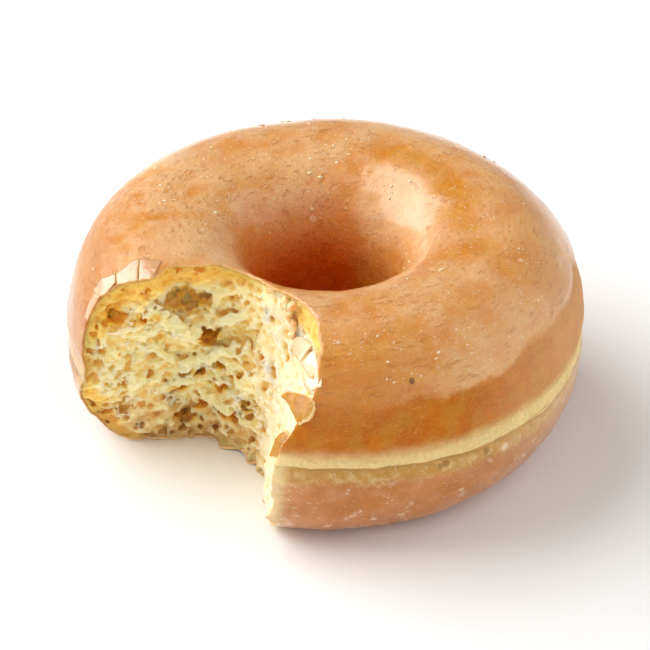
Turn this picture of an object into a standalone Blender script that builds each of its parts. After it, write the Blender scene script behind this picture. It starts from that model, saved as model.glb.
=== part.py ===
"""A ring doughnut of yeast dough with one bite taken out of it, as one solid.

Metres, +Z up.  The origin is the middle of the base, under the hole, and the
bite faces -Y and -X.  The ring is a fat section spun round the hole, with a
pale seam at its widest level, where the two fried halves meet, and a small
flat to stand on.  A cutter shaped like the inside of the bite is then taken
out of it.
"""

import math

import bmesh
import bpy
import numpy as np

MM = 0.001

# The ring, measured from its widest level, the waist
OUTER_RADIUS = 47.5 * MM
HOLE_RADIUS = 13.2 * MM
CROWN_RISE = 22.4 * MM
LOWER_DEPTH = 20.0 * MM      # depth that the lower half would have if it were round
BASE_DROP = 19.4 * MM        # the flat that it stands on
CORE_RADIUS = (OUTER_RADIUS + HOLE_RADIUS) / 2
HALF_WIDTH = (OUTER_RADIUS - HOLE_RADIUS) / 2

# How square the section is: 2 is an ellipse, and more is fuller at the corners
FULLNESS_HOLE_SIDE = 2.84
FULLNESS_UPPER = 2.35
FULLNESS_LOWER = 2.30

# The seam round the outside, a shallow groove under the upper half's rim.  It
# rises and falls twice in one turn, and is lowest at one side.
SEAM_LEVEL = 1.8 * MM
SEAM_WAVE = 1.2 * MM
SEAM_LOWEST_DIRECTION = 345
SEAM_HALF_HEIGHT = 2.2 * MM
SEAM_DEPTH = 0.5 * MM

# Where the soft dough bulged or was pressed while it rose:
# direction and level angle in degrees, how far it reaches in degrees, and height
SWELLS = (
    (331, -35, 15, -0.50 * MM),
    (348, -17, 14, -0.30 * MM),
    (24, 32, 14, 0.30 * MM),
    (43, 46, 16, -0.60 * MM),
    (72, 55, 14, 0.15 * MM),
    (115, 53, 16, -0.25 * MM),
    (146, 39, 14, -0.30 * MM),
    (162, 24, 14, -0.40 * MM),
    (176, 6, 14, 0.35 * MM),
    (265, -50, 14, 0.15 * MM),
)

# The bite, as radii about its own axis.  Each row is a direction in degrees and
# the radius in mm at the crown, at the waist and at the base.  The upper teeth
# left the two shallow scallops at 60 and 130 degrees, the lower teeth went deeper.
BITE_AXIS = (-27 * MM, -34 * MM)
BITE_LEVELS = (17 * MM, 0.0, -14 * MM)
BITE_WALL = (
    (-90, 36.0, 36.0, 36.0),
    (-60, 32.8, 28.0, 26.6),
    (-45, 30.2, 23.4, 21.6),
    (-32, 28.4, 21.3, 19.7),
    (-20, 27.2, 20.5, 18.3),
    (0, 25.7, 19.7, 16.4),
    (20, 24.0, 19.9, 17.2),
    (40, 22.4, 20.9, 20.1),
    (55, 23.8, 22.1, 22.2),
    (65, 23.2, 22.8, 23.2),
    (80, 19.8, 22.9, 25.2),
    (92, 19.4, 22.5, 25.5),
    (103, 17.2, 22.1, 25.1),
    (115, 19.2, 21.8, 26.4),
    (127, 23.5, 22.2, 31.5),
    (140, 30.6, 24.9, 39.0),
    (155, 42.0, 33.0, 46.0),
    (180, 50.0, 46.0, 50.0),
    (225, 52.0, 52.0, 52.0),
)

# Large torn hollows in the crumb: direction round the bite's axis in degrees,
# height above the waist, width, height and depth of each, in mm
HOLLOWS = (
    (77, 13.0, 7.0, 4.2, 3.4),
    (71, 6.6, 5.0, 4.6, 2.8),
    (120, 10.7, 5.2, 3.8, 2.4),
    (105, 11.7, 3.6, 3.2, 1.8),
    (90, -6.8, 6.0, 4.0, 2.8),
    (62, -1.8, 7.0, 3.6, 2.4),
    (82, -11.5, 5.0, 3.4, 2.4),
    (92, -15.5, 8.0, 4.5, 3.2),
    (60, 5.5, 5.0, 3.0, 1.6),
    (48, -9.5, 5.0, 3.0, 1.8),
    (30, -4.0, 4.0, 3.4, 1.2),
    (118, -9.0, 5.0, 6.0, 1.6),
)

RING_STEPS = 84
SEAM_STEPS = 4
REST_STEPS = 32
BITE_STEPS = 92
BITE_ROWS = 30
BITE_OVERSHOOT = 4 * MM      # the cutter reaches past the crown and the base


def section_point(angle):
    """Radius and height of the section at an angle from its outermost point.

    The section is a superellipse drawn from its own centre, with its own
    fullness on the hole's side, above and below, and cut flat at the base.
    """
    across, along = math.cos(angle), math.sin(angle)
    if across < 0:
        fullness = FULLNESS_HOLE_SIDE
    else:
        fullness = FULLNESS_UPPER if along >= 0 else FULLNESS_LOWER
    reach = (abs(across) ** fullness + abs(along) ** fullness) ** (-1 / fullness)
    depth = CROWN_RISE if along >= 0 else LOWER_DEPTH
    return CORE_RADIUS + HALF_WIDTH * across * reach, max(depth * along * reach, -BASE_DROP)


def section_angles():
    """Even angles round the section, closer together where the seam lies."""
    reach = (SEAM_WAVE + 1.3 * SEAM_HALF_HEIGHT) / HALF_WIDTH
    middle = SEAM_LEVEL / HALF_WIDTH
    seam = [middle + reach * k / SEAM_STEPS for k in range(-SEAM_STEPS, SEAM_STEPS + 1)]
    rest = 2 * math.pi - 2 * reach
    return seam + [seam[-1] + rest * k / REST_STEPS for k in range(1, REST_STEPS)]


def swell(azimuth, level_angle):
    """How far the soft dough stands out of the even ring, as a sum of round bumps."""
    total = 0.0
    for direction, level, reach, height in SWELLS:
        turn = (math.degrees(azimuth) - direction + 180) % 360 - 180
        climb = (math.degrees(level_angle) - level + 180) % 360 - 180
        total += height * math.exp(-(turn * turn + climb * climb) / (reach * reach))
    return total


def seam_level(azimuth):
    """Height of the seam's middle in a direction from the hole."""
    turn = azimuth - math.radians(SEAM_LOWEST_DIRECTION)
    return SEAM_LEVEL - SEAM_WAVE * math.cos(2 * turn)


def make_ring():
    """Spin the section round the hole, then let the seam sink and the dough swell."""
    ring = bmesh.new()
    angles = section_angles()
    profile = [ring.verts.new((radius, 0, height))
               for radius, height in map(section_point, angles)]
    edges = [ring.edges.new((a, b)) for a, b in zip(profile, profile[1:] + profile[:1])]
    bmesh.ops.spin(ring, geom=profile + edges, cent=(0, 0, 0), axis=(0, 0, 1),
                   angle=2 * math.pi, steps=RING_STEPS, use_duplicate=False)
    bmesh.ops.remove_doubles(ring, verts=ring.verts, dist=0.01 * MM)
    for vertex in ring.verts:
        x, y, height = vertex.co
        radius = math.hypot(x, y)
        azimuth = math.atan2(y, x)
        level_angle = math.atan2(height, radius - CORE_RADIUS)
        push = swell(azimuth, level_angle)
        if radius > CORE_RADIUS:
            push -= SEAM_DEPTH * math.exp(-((height - seam_level(azimuth)) / SEAM_HALF_HEIGHT) ** 4)
        outward = math.cos(level_angle) * push
        vertex.co.x += outward * math.cos(azimuth)
        vertex.co.y += outward * math.sin(azimuth)
        if height > -BASE_DROP + 0.01 * MM:
            vertex.co.z = max(height + math.sin(level_angle) * push, -BASE_DROP)
    bmesh.ops.recalc_face_normals(ring, faces=ring.faces)
    return ring


def through(rows, directions):
    """Smooth curve through the rows at the given directions, closed round the bite.

    Each stretch is a Catmull-Rom cubic: it passes through both its ends with a
    slope taken from the points on either side.
    """
    known = np.array([row[0] for row in rows], float)
    values = np.array([row[1:] for row in rows], float)
    count = len(rows)
    ends = np.append(known, known[0] + 360)
    place = (directions - known[0]) % 360 + known[0]
    start = np.clip(np.searchsorted(ends, place, side="right") - 1, 0, count - 1)
    part = ((place - ends[start]) / (ends[start + 1] - ends[start]))[:, None]
    before, first, last, after = (values[(start + k) % count] for k in (-1, 0, 1, 2))
    return (first + 0.5 * part * (last - before
            + part * (2 * before - 5 * first + 4 * last - after
                      + part * (3 * first - before - 3 * last + after))))


def bite_radius(directions, heights):
    """Radius of the bite round its axis, as a grid of heights by directions.

    The three rings of radii are blended with an S-shaped weight between their
    levels, and each hollow adds a round bump to the radius.
    """
    crown, waist, base = through(BITE_WALL, directions).T * MM
    top, middle, bottom = BITE_LEVELS
    rows = heights[:, None]
    rise = np.clip((rows - middle) / (top - middle), 0, 1)
    drop = np.clip((middle - rows) / (middle - bottom), 0, 1)
    rise = rise * rise * (3 - 2 * rise)
    drop = drop * drop * (3 - 2 * drop)
    radius = waist + (crown - waist) * rise + (base - waist) * drop
    for direction, height, width, tall, depth in HOLLOWS:
        turn = (directions - direction + 180) % 360 - 180
        along = np.radians(turn) * radius / (width * MM / 2)
        above = (rows - height * MM) / (tall * MM / 2)
        radius = radius + depth * MM * np.exp(-(along ** 4 + above ** 4) / 2)
    return radius


def bite_directions():
    """Directions round the bite, close together on the wall and far apart outside."""
    wall = np.linspace(-75, 165, BITE_STEPS)
    outside = np.linspace(165, 285, 10)[1:-1]
    return np.concatenate([wall, outside])


def make_bite_cutter():
    """A closed, lumpy column whose side is the wall that the bite left."""
    directions = bite_directions()
    heights = np.linspace(-BASE_DROP - BITE_OVERSHOOT, CROWN_RISE + BITE_OVERSHOOT, BITE_ROWS)
    radius = bite_radius(directions, heights)
    turns = np.radians(directions)
    cutter = bmesh.new()
    rings = []
    for height, row in zip(heights, radius):
        rings.append([cutter.verts.new((BITE_AXIS[0] + reach * math.cos(turn),
                                        BITE_AXIS[1] + reach * math.sin(turn), height))
                      for turn, reach in zip(turns, row)])
    count = len(turns)
    for lower, upper in zip(rings, rings[1:]):
        for k in range(count):
            following = (k + 1) % count
            cutter.faces.new((lower[k], lower[following], upper[following], upper[k]))
    cutter.faces.new(rings[0][::-1])
    cutter.faces.new(rings[-1])
    bmesh.ops.recalc_face_normals(cutter, faces=cutter.faces)
    return cutter


def add_object(name, shape):
    """Put a finished shape into the scene, lifted so that its base is at z = 0."""
    bmesh.ops.translate(shape, verts=shape.verts, vec=(0, 0, BASE_DROP))
    mesh = bpy.data.meshes.new(name)
    shape.to_mesh(mesh)
    shape.free()
    thing = bpy.data.objects.new(name, mesh)
    bpy.context.collection.objects.link(thing)
    return thing


def dough_material():
    """Fried dough: golden brown with a soft gloss from its thin sugar glaze."""
    material = bpy.data.materials.new("fried_dough")
    material.use_nodes = True
    shader = material.node_tree.nodes["Principled BSDF"]
    shader.inputs["Base Color"].default_value = (0.66, 0.31, 0.09, 1)
    shader.inputs["Roughness"].default_value = 0.35
    shader.inputs["Metallic"].default_value = 0.0
    return material


for leftover in list(bpy.data.objects):
    bpy.data.objects.remove(leftover)

doughnut = add_object("doughnut", make_ring())
doughnut.data.materials.append(dough_material())
doughnut.data.shade_smooth()

bite = add_object("bite_cutter", make_bite_cutter())
bite.hide_render = True
bite.display_type = "WIRE"

cut = doughnut.modifiers.new("bite", "BOOLEAN")
cut.operation = "DIFFERENCE"
cut.solver = "EXACT"
cut.object = bite
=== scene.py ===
"""A glazed ring doughnut with one bite taken out of it, finished round its CAD solid.

Shapes are worked out in millimetres from the solid's own box and put into the
meshes in metres.  First comes the browned crust with its glaze, then the crumb
that the bite laid bare, then what broke at the bite, and the grains of sugar.
"""

import itertools
import math

import bpy
import numpy as np
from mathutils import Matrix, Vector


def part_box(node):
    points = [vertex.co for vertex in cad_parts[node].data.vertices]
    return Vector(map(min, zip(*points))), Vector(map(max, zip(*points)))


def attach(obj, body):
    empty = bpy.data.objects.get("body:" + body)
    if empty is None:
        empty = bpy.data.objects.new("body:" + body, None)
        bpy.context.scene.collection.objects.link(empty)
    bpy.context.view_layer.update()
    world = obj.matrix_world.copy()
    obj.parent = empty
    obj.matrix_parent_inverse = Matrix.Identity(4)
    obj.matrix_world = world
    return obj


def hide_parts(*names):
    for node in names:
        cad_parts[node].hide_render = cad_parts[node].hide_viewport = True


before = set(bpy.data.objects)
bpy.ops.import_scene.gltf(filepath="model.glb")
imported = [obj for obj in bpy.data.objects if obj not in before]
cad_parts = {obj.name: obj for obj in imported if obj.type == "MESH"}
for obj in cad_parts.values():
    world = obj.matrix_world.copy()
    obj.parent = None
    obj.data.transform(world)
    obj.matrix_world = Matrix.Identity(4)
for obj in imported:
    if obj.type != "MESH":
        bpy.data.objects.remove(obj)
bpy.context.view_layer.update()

MM = 0.001

# --------------------
# Node maths for the finishes and the room's light.  Flow wraps a node's socket,
# so that a pattern reads as a formula, with lengths in millimetres.


class Flow:
    """A value, vector or colour on its way through a material's nodes."""

    def __init__(self, tree, socket):
        self.tree, self.socket = tree, socket

    def node(self, kind, *values, out=0, inputs=None, **settings):
        """Add a node: its settings first, then its sockets by place or by name."""
        made = self.tree.nodes.new("ShaderNode" + kind)
        for name, setting in settings.items():
            setattr(made, name, setting)
        for place, value in [*enumerate(values), *(inputs or {}).items()]:
            if isinstance(value, Flow):
                self.tree.links.new(value.socket, made.inputs[place])
            elif value is not None:
                made.inputs[place].default_value = value
        return Flow(self.tree, made.outputs[out])

    def other(self, out):
        """Another output of the node that this flow comes from."""
        return Flow(self.tree, self.socket.node.outputs[out])

    def math(self, operation, *values):
        return self.node("Math", *values, operation=operation)

    def __add__(self, other):
        return self.math("ADD", self, other)

    def __mul__(self, other):
        return self.math("MULTIPLY", self, other)

    def __sub__(self, other):
        return self.math("SUBTRACT", self, other)

    def __rsub__(self, other):
        return self.math("SUBTRACT", other, self)

    __radd__ = __add__
    __rmul__ = __mul__

    def most(self, other):
        """The larger of two flows."""
        return self.math("MAXIMUM", self, other)

    def above(self, edge, soft):
        """Zero below the edge and one above it, with an S-curve so wide between."""
        return self.node("MapRange", self, edge - soft, edge + soft,
                         interpolation_type="SMOOTHSTEP")

    def below(self, edge, soft):
        return 1 - self.above(edge, soft)

    def around(self, middle, reach):
        """One at the middle, falling to zero a reach away on both sides."""
        return self.math("ABSOLUTE", self - middle).below(reach * 0.6, reach * 0.4)

    def vector_math(self, operation, *values, out=0):
        return self.node("VectorMath", self, *values, operation=operation, out=out)

    def stretch(self, *factors):
        """A vector scaled by its own factor along each axis."""
        return self.vector_math("MULTIPLY", factors)

    def distance(self, point):
        """How far this vector is from a point."""
        return self.vector_math("DISTANCE", point, out=1)

    def axis(self, number):
        """The vector's part along x, y or z."""
        return self.node("SeparateXYZ", self, out=number)

    def blend(self, first, second, way="MIX"):
        """A colour from the first to the second, with this flow as the share."""
        return self.node("Mix", out=2, data_type="RGBA", blend_type=way,
                         inputs={0: self, 6: first, 7: second})

    def toward(self, colour, share):
        """This colour mixed with another by a share."""
        return share.blend(self, colour)

    def tint(self, colour, share):
        """This colour multiplied by another by a share."""
        return share.blend(self, colour, "MULTIPLY")

    def noise(self, grain, detail=2.0, roughness=0.5, distortion=0.0):
        """Noise of about the given grain, from zero to one, on this vector in mm."""
        return self.node("TexNoise", inputs={
            "Vector": self, "Scale": 1 / grain, "Detail": detail, "Roughness": roughness,
            "Distortion": distortion})

    def wander(self, swing, *pattern):
        """Noise about zero, with so wide a swing."""
        return swing * (self.noise(*pattern) - 0.5)

    def specks(self, spacing, size, share):
        """Round dots up to a size across, in a share of a random pattern's cells."""
        away = self.node("TexVoronoi", inputs={"Vector": self, "Scale": 1 / spacing})
        luck = away.node("SeparateColor", away.other(1))
        radius = (0.35 + 0.65 * luck) * (size / 2)
        return (away * spacing - radius).below(0, size * 0.12) * luck.other(1).below(share, 0.02)

    def read(self, name, out=2):
        """A piece's own attribute as a number, or as a vector with an out of 1."""
        return self.node("Attribute", out=out, attribute_name=name)

    def relief(self, distance, before=None):
        """A bump of so many mm from this height, on top of an earlier bump."""
        return self.node("Bump", inputs={"Strength": 1.0, "Distance": distance * MM,
                                         "Height": self, "Normal": before})


def tone(red, green, blue):
    """A colour as a screen shows it, from 0 to 255, made linear for the shader."""
    shares = [value / 255 for value in (red, green, blue)]
    return (*[s / 12.92 if s <= 0.04045 else ((s + 0.055) / 1.055) ** 2.4 for s in shares], 1)


def new_finish(thing, **constants):
    """A material on a piece: its shader with constant sockets set, and the place in mm."""
    material = bpy.data.materials.new(thing.name)
    material.use_nodes = True
    thing.data.materials.append(material)
    shader = material.node_tree.nodes["Principled BSDF"]
    for socket, value in constants.items():
        shader.inputs[socket.replace("_", " ")].default_value = value
    return shader, Flow(material.node_tree, None).node("TexCoord", out=3).stretch(*[1 / MM] * 3)


def feed(shader, **flows):
    """Join flows to the shader's sockets of those names."""
    for socket, flow in flows.items():
        flow.tree.links.new(flow.socket, shader.inputs[socket.replace("_", " ")])


def near(value, middle, reach):
    """A bell curve: one at the middle, falling off within the reach."""
    return np.exp(-((value - middle) / reach) ** 2)


def ramp(value, start, end):
    """S-curve from zero at the start to one at the end."""
    part = np.clip((value - start) / (end - start), 0, 1)
    return part * part * (3 - 2 * part)


def add_object(name, data):
    """An object with its mesh, lamp or lens, in the scene."""
    thing = bpy.data.objects.new(name, data)
    bpy.context.scene.collection.objects.link(thing)
    return thing


# --------------------
# The studio: a white table, a big soft lamp high on the left, weaker ones on the
# right and in front, and a white room.  A long lens looks down from the front.

VIEW_DISTANCE = 0.948
VIEW_RISE = 33.71
VIEW_TARGET = (-0.0002, 0.0, 0.0193)
LENS_WIDTHS = 7.9            # focal length in sensor widths


def stand(thing, distance, turn, rise, target=(0, 0, 0)):
    """Put a lamp or the camera round a target, its turn and rise in degrees, and aim it."""
    turn, rise = math.radians(turn), math.radians(rise)
    way = (math.cos(rise) * math.cos(turn), math.cos(rise) * math.sin(turn), math.sin(rise))
    thing.location = [middle + distance * part for middle, part in zip(target, way)]
    thing.rotation_euler = (math.pi / 2 - rise, 0, turn + math.pi / 2)


camera = add_object("camera", bpy.data.cameras.new("camera"))
camera.data.lens = LENS_WIDTHS * camera.data.sensor_width
stand(camera, VIEW_DISTANCE, -90, VIEW_RISE, VIEW_TARGET)
bpy.context.scene.camera = camera
bpy.context.scene.view_settings.view_transform = "Standard"

# turn and rise in degrees, distance and size in metres, power in watts, colour
for name, turn, rise, distance, size, power, colour in (
        ("key_lamp", 159, 40, 0.95, 1.12, 15.5, (1.0, 0.985, 0.96)),
        ("side_lamp", 5, 30, 1.1, 1.1, 4.0, (1.0, 0.99, 0.98)),
        ("front_lamp", -80, 30, 1.3, 1.6, 3.5, (1.0, 0.99, 0.97))):
    lamp = bpy.data.lights.new(name, "AREA")
    lamp.size, lamp.energy, lamp.color = size, power, colour
    stand(add_object(name, lamp), distance, turn, rise)

# The room is bright along the horizon, dimmer behind the doughnut and dim overhead
room = bpy.data.worlds.new("white_room")
bpy.context.scene.world = room
room.use_nodes = True
background = room.node_tree.nodes["Background"]
background.inputs["Color"].default_value = (1.0, 0.99, 0.98, 1)
way = Flow(room.node_tree, None).node("TexCoord")
behind = way.vector_math("DOT_PRODUCT", (-0.15, 0.95, 0.0), out=1)
height = way.axis(2)
brightness = 0.32 + 0.55 * height.below(0.4, 0.45) - 0.4 * behind.above(0.3, 0.6)
room.node_tree.links.new(brightness.socket, background.inputs["Strength"])

table_mesh = bpy.data.meshes.new("table_top")
table_mesh.from_pydata([(-1, -1, 0), (1, -1, 0), (1, 1, 0), (-1, 1, 0)], [], [(0, 1, 2, 3)])
table = add_object("table_top", table_mesh)
new_finish(table, Base_Color=(0.93, 0.93, 0.93, 1), Roughness=0.9, Specular_IOR_Level=0.1)

# --------------------
# The ring: a fat section turned round the hole.  Yeast dough rises between two
# fryings, so it has a round upper half, a round lower half, a pale seam at its
# waist, where the oil never reached, and soft bulges all over.

low, high = (np.array(corner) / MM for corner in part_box("doughnut"))
OUTER = (high[1] - low[1]) / 2
HOLE = 0.278 * OUTER
CROWN = 0.536 * (high[2] - low[2])
BASE = (high[2] - low[2]) - CROWN   # also the height of the waist above the table
LOWER = 1.031 * BASE
CORE = (OUTER + HOLE) / 2
HALF_WIDTH = (OUTER - HOLE) / 2
FULLNESS_HOLE_SIDE = 2.84
FULLNESS_UPPER = 2.35
FULLNESS_LOWER = 2.3

# direction and level angle in degrees, reach in degrees, height in mm
SWELLS = (
    (331, -35, 15, -0.5), (348, -17, 14, -0.3), (24, 32, 14, 0.3),
    (43, 46, 16, -0.6), (72, 55, 14, 0.15), (115, 53, 16, -0.25),
    (146, 39, 14, -0.3), (162, 24, 14, -0.4), (176, 6, 14, 0.35), (265, -50, 14, 0.15),
)

SEAM_LEVEL = 1.8
SEAM_WAVE = 1.2
SEAM_LOWEST_DIRECTION = math.radians(345)
SEAM_HALF_HEIGHT = 2.2
SEAM_DEPTH = 0.5
CLOUD_SIZE = 64              # grains along each side of the cube that noise repeats in


def stacked(*columns):
    """Vectors from their parts, which are stretched over one another's shape."""
    return np.stack(np.broadcast_arrays(*columns), axis=-1)


def unit(vectors):
    """Vectors brought to a length of one."""
    return vectors / np.linalg.norm(vectors, axis=-1, keepdims=True)


def section_reach(level):
    """The rim at a level angle, across and along from the section's centre: a
    superellipse, with its own power on the hole's side, above and below."""
    across, along = np.cos(level), np.sin(level)
    fullness = np.where(across < 0, FULLNESS_HOLE_SIDE,
                        np.where(along >= 0, FULLNESS_UPPER, FULLNESS_LOWER))
    reach = (np.abs(across) ** fullness + np.abs(along) ** fullness) ** (-1 / fullness)
    tall = np.where(along >= 0, CROWN, LOWER)
    return HALF_WIDTH * across * reach, np.maximum(tall * along * reach, -BASE)


def swell(azimuth, level):
    """Sum of round bumps, each a bell curve of the turn and climb from its middle."""
    total = np.zeros(np.broadcast(azimuth, level).shape)
    for direction, middle, reach, height in SWELLS:
        turn = (np.degrees(azimuth) - direction + 180) % 360 - 180
        climb = (np.degrees(level) - middle + 180) % 360 - 180
        total += height * np.exp(-(turn ** 2 + climb ** 2) / reach ** 2)
    return total


def seam_level(azimuth):
    """Height of the seam's middle above the waist, a wave with two crests in a turn."""
    return SEAM_LEVEL - SEAM_WAVE * np.cos(2 * (azimuth - SEAM_LOWEST_DIRECTION))


def seam_dent(azimuth, across, along):
    """How far the seam draws the skin in, a flat-bottomed furrow on the outer side."""
    return (across > 0) * SEAM_DEPTH * np.exp(
        -((along - seam_level(azimuth)) / SEAM_HALF_HEIGHT) ** 4)


def ring_points(azimuth, level, lift=0.0):
    """Points on the ring's skin, or lifted straight off it from the section's centre,
    measured from the waist's middle.  The flat base stays flat."""
    across, along = section_reach(level)
    push = (swell(azimuth, np.arctan2(along, across)) + lift
            - seam_dent(azimuth, across, along)) / np.hypot(across, along)
    radius = CORE + across * (1 + push)
    height = np.maximum(along * (1 + push), -BASE)
    return stacked(radius * np.cos(azimuth), radius * np.sin(azimuth), height)


def from_corners(values, cell, part):
    """Values inside a lattice's cubes: the eight corners weighted by the part of the
    way along each axis.  Past its border the lattice starts again."""
    total = 0.0
    for corner in itertools.product((0, 1), repeat=3):
        weight = np.prod(np.where(corner, part, 1 - part), axis=-1)
        spot = (cell + corner) % values.shape
        total = total + weight * values[spot[..., 0], spot[..., 1], spot[..., 2]]
    return total


def cloud(points, grain, seed):
    """Smooth noise from -1 to 1: random values at the corners of cubes of the
    given grain, blended inside each cube with an S-curve along each axis."""
    table = np.random.default_rng(seed).uniform(-1, 1, (CLOUD_SIZE,) * 3)
    place = points / grain + CLOUD_SIZE
    cell = np.floor(place).astype(int)
    return from_corners(table, cell, ramp(place - cell, 0, 1))


# --------------------
# The bite: the wall that the teeth left, as radii about the bite's own axis at
# three heights.  The upper teeth left two scallops, the lower teeth dug deeper,
# and soft dough tore out of the wall in larger hollows.

BITE_AXIS = np.array([-27.0, -34.0])
BITE_HEIGHTS = (17.0, 0.0, -14.0)
# direction in degrees, radius at the crown, at the waist and at the base
BITE_WALL = np.array([
    (-90, 36, 36, 36), (-60, 32.8, 28, 26.6), (-45, 30.2, 23.4, 21.6),
    (-32, 28.4, 21.3, 19.7), (-20, 27.2, 20.5, 18.3), (0, 25.7, 19.7, 16.4),
    (20, 24, 19.9, 17.2), (40, 22.4, 20.9, 20.1), (55, 23.8, 22.1, 22.2),
    (65, 23.2, 22.8, 23.2), (80, 19.8, 22.9, 25.2), (92, 19.4, 22.5, 25.5),
    (103, 17.2, 22.1, 25.1), (115, 19.2, 21.8, 26.4), (127, 23.5, 22.2, 31.5),
    (140, 30.6, 24.9, 39), (155, 42, 33, 46), (180, 50, 46, 50),
    (225, 52, 52, 52),
])


def through_rows(rows, direction):
    """Smooth closed curve through the rows: a Catmull-Rom cubic on each stretch."""
    known, values = rows[:, 0], rows[:, 1:]
    ends = np.append(known, known[0] + 360)
    place = (direction - known[0]) % 360 + known[0]
    start = np.clip(np.searchsorted(ends, place, side="right") - 1, 0, len(known) - 1)
    part = ((place - ends[start]) / (ends[start + 1] - ends[start]))[..., None]
    before, first, last, after = (values[(start + k) % len(known)] for k in (-1, 0, 1, 2))
    return (first + 0.5 * part * (last - before
            + part * (2 * before - 5 * first + 4 * last - after
                      + part * (3 * first - before - 3 * last + after))))


def round_bite(points):
    """Direction of points seen from the bite's axis, in radians."""
    return np.arctan2(points[..., 1] - BITE_AXIS[1], points[..., 0] - BITE_AXIS[0])


def bite_depth(points):
    """How far a point lies inside the bitten-out space, negative in the dough: the
    wall's radius less the distance from the bite's axis, over the wall's slant."""
    direction = np.degrees(round_bite(points))
    turns = np.linspace(-180, 180, 721)
    radii = through_rows(BITE_WALL, turns)
    slants = np.gradient(radii, np.radians(turns), axis=0)
    crown, waist, base = (np.interp(direction, turns, radii[:, k]) for k in range(3))
    slant = np.interp(direction, turns, slants.mean(axis=1))
    top, middle, bottom = BITE_HEIGHTS
    radius = (waist + (crown - waist) * ramp(points[..., 2], middle, top)
              + (base - waist) * ramp(points[..., 2], middle, bottom))
    away = np.linalg.norm(points[..., :2] - BITE_AXIS, axis=-1)
    return (radius - away) / np.sqrt(1 + (slant / np.maximum(radius, 1)) ** 2)


# --------------------
# The skin: golden-brown fried crust with its sugar glaze, as one surface.  The
# glaze was poured over the top and set in a lobed edge on the outer shoulder.
# The lower half was dipped, so its glaze is thin, hazy and flaked.


def mesh_piece(name, points, faces, smooth=True, **columns):
    """An object from points in mm above the waist's middle and from faces.  Each
    column is a number or a vector for each point, kept as an attribute."""
    mesh = bpy.data.meshes.new(name)
    placed = (points + (0, 0, BASE)) * MM
    mesh.from_pydata(placed.tolist(), [], faces.tolist(), shade_flat=not smooth)
    for column, values in columns.items():
        kind, field = ("FLOAT_VECTOR", "vector") if values.ndim == 2 else ("FLOAT", "value")
        attribute = mesh.attributes.new(column, kind, "POINT")
        attribute.data.foreach_set(field, values.astype(np.float32).ravel())
    return add_object(name, mesh)


def spread(start, end, density, count):
    """Numbers from start to end whose spacing follows one over the density."""
    fine = np.linspace(start, end, 4001)
    share = np.cumsum(density(fine))
    share = (share - share[0]) / (share[-1] - share[0])
    return np.interp(np.linspace(0, 1, count), share, fine)


AROUND, ACROSS = 380, 146    # steps round the ring and round its section
FINE_FROM, FINE_TO = math.radians(183), math.radians(302)
RUN_FROM, RUN_TO = math.radians(168), math.radians(236)
BROAD_SEAM = math.radians(333)
BUBBLE = (15.14, -41.2, 15.5)


def around_density(azimuth):
    """More steps where the bite is and where the crust tears."""
    return 1 + 0.8 * ramp(azimuth, FINE_FROM - 0.1, FINE_FROM) * (
        1 - ramp(azimuth, FINE_TO, FINE_TO + 0.1))


def across_density(level):
    """Even steps along the rim, with more of them at the seam."""
    side, tall = section_reach(level)
    pace = np.hypot(np.gradient(side, level), np.gradient(tall, level))
    return np.maximum(pace, 1) * (1 + 0.9 * near(level, 0.08, 0.28))


azimuths = spread(0, 2 * math.pi, around_density, AROUND + 1)[:-1][:, None]
levels = spread(-math.pi, math.pi, across_density, ACROSS + 1)[:-1][None, :]


def glaze_rim(azimuth):
    """Height of the poured glaze's lower edge above the waist: slow waves and lobes,
    and a long run down to the base on the left of the bite."""
    run = ramp(azimuth, RUN_FROM - 0.35, RUN_FROM) * (1 - ramp(azimuth, RUN_TO, RUN_TO + 0.2))
    return (12.4 + 0.7 * np.cos(2 * azimuth + 0.6) + 0.5 * np.cos(5 * azimuth + 1.9)
            + 0.45 * np.cos(11 * azimuth + 0.4) + 0.3 * np.cos(23 * azimuth + 2.2) - 27 * run)


side, tall = section_reach(levels)
even = ring_points(azimuths, levels)
outside = ramp(side, -2, 2)

# Signed distances that the crust's colours and the glaze's thickness follow
ragged = 0.5 * cloud(even, 2.6, 11) + 0.25 * cloud(even, 1.1, 12)
above_rim = tall - glaze_rim(azimuths) * outside + 8 * (1 - outside) + ragged
above_seam = tall - seam_level(azimuths) + 2.1 + 0.25 * cloud(even, 2.2, 13)
poured = ramp(above_rim, -0.35, 0.5)
lip = near(above_rim, 0.55, 0.7) * outside
crease = near(above_seam, -0.5, 0.55) * outside
faint = near(azimuths, math.radians(275), math.radians(15))
broad = near(azimuths, BROAD_SEAM, math.radians(24))
above_band = above_seam - 2.5 - 2 * broad
band = ramp(above_seam, -0.2, 0.3) * (1 - ramp(above_band, -0.5, 1.5)) * outside

lift = (0.22 * cloud(even, 9, 21) + 0.1 * cloud(even, 3.5, 22)
        + 0.04 * cloud(even, 1.3, 23)
        + 0.3 * cloud(even, 3.2, 24) * near(above_seam, -7, 5) * outside
        + (0.28 * poured + 0.14 * lip) * (1 - faint)
        - 0.45 * crease + 0.12 * band)
lift = lift - 0.5 * near(np.linalg.norm(even - BUBBLE, axis=-1), 0, 0.6)
skin_points = ring_points(azimuths, levels, lift)


def torn_edge(points):
    """Ragged bumps in the bite's depth along the torn crust, wilder on the lower half."""
    wild = 1 + ramp(points[..., 2], -3, -9)
    return wild * (0.45 * cloud(points, 2.4, 31) + 0.28 * cloud(points, 1, 32))


torn = bite_depth(skin_points) + torn_edge(skin_points)


def grid_faces(rows, columns):
    """Quads of a grid that closes on itself both ways, outwards by the right-hand rule."""
    number = np.arange(rows * columns).reshape(rows, columns)
    over = np.roll(number, -1, axis=0)
    return stacked(number, over, np.roll(over, -1, 1), np.roll(number, -1, 1)).reshape(-1, 4)


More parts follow.
